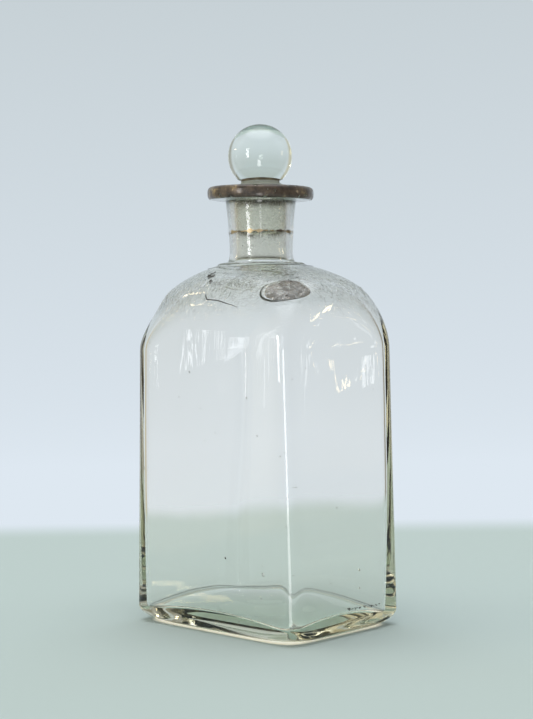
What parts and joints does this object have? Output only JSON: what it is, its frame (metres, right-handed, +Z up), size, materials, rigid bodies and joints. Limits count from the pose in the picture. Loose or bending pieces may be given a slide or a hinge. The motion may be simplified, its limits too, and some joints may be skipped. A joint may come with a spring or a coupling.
{
  "type": "stoppered glass bottle",
  "caption": "Hand-blown rectangular clear glass bottle with rounded shoulders, a flared neck with a gilded flanged lip, and a ground glass ball stopper.",
  "frame": {"origin": "middle of the base, on the surface the bottle stands on", "axes": "+Z up along the neck, X across the broad faces, Y across the narrow ones"},
  "size_m": [0.0876, 0.0632, 0.1939],
  "materials": {
    "clear_glass": "clear, faint olive tint, ground frosted seat in the neck",
    "stopper_glass": "clear ball, ground frosted shank",
    "worn_gilding": "fired gold, worn to dull brown"
  },
  "bodies": {
    "glass_body": {"bottle": "clear_glass", "lip_gilding": "worn_gilding", "neck_gilding": "worn_gilding"},
    "stopper": {"stopper": "stopper_glass"}
  },
  "joints": [
    {"name": "stopper_lift", "type": "slide", "parent": "glass_body", "child": "stopper", "axis": [0, 0, 1], "range_m": [0, 0.045]}
  ]
}
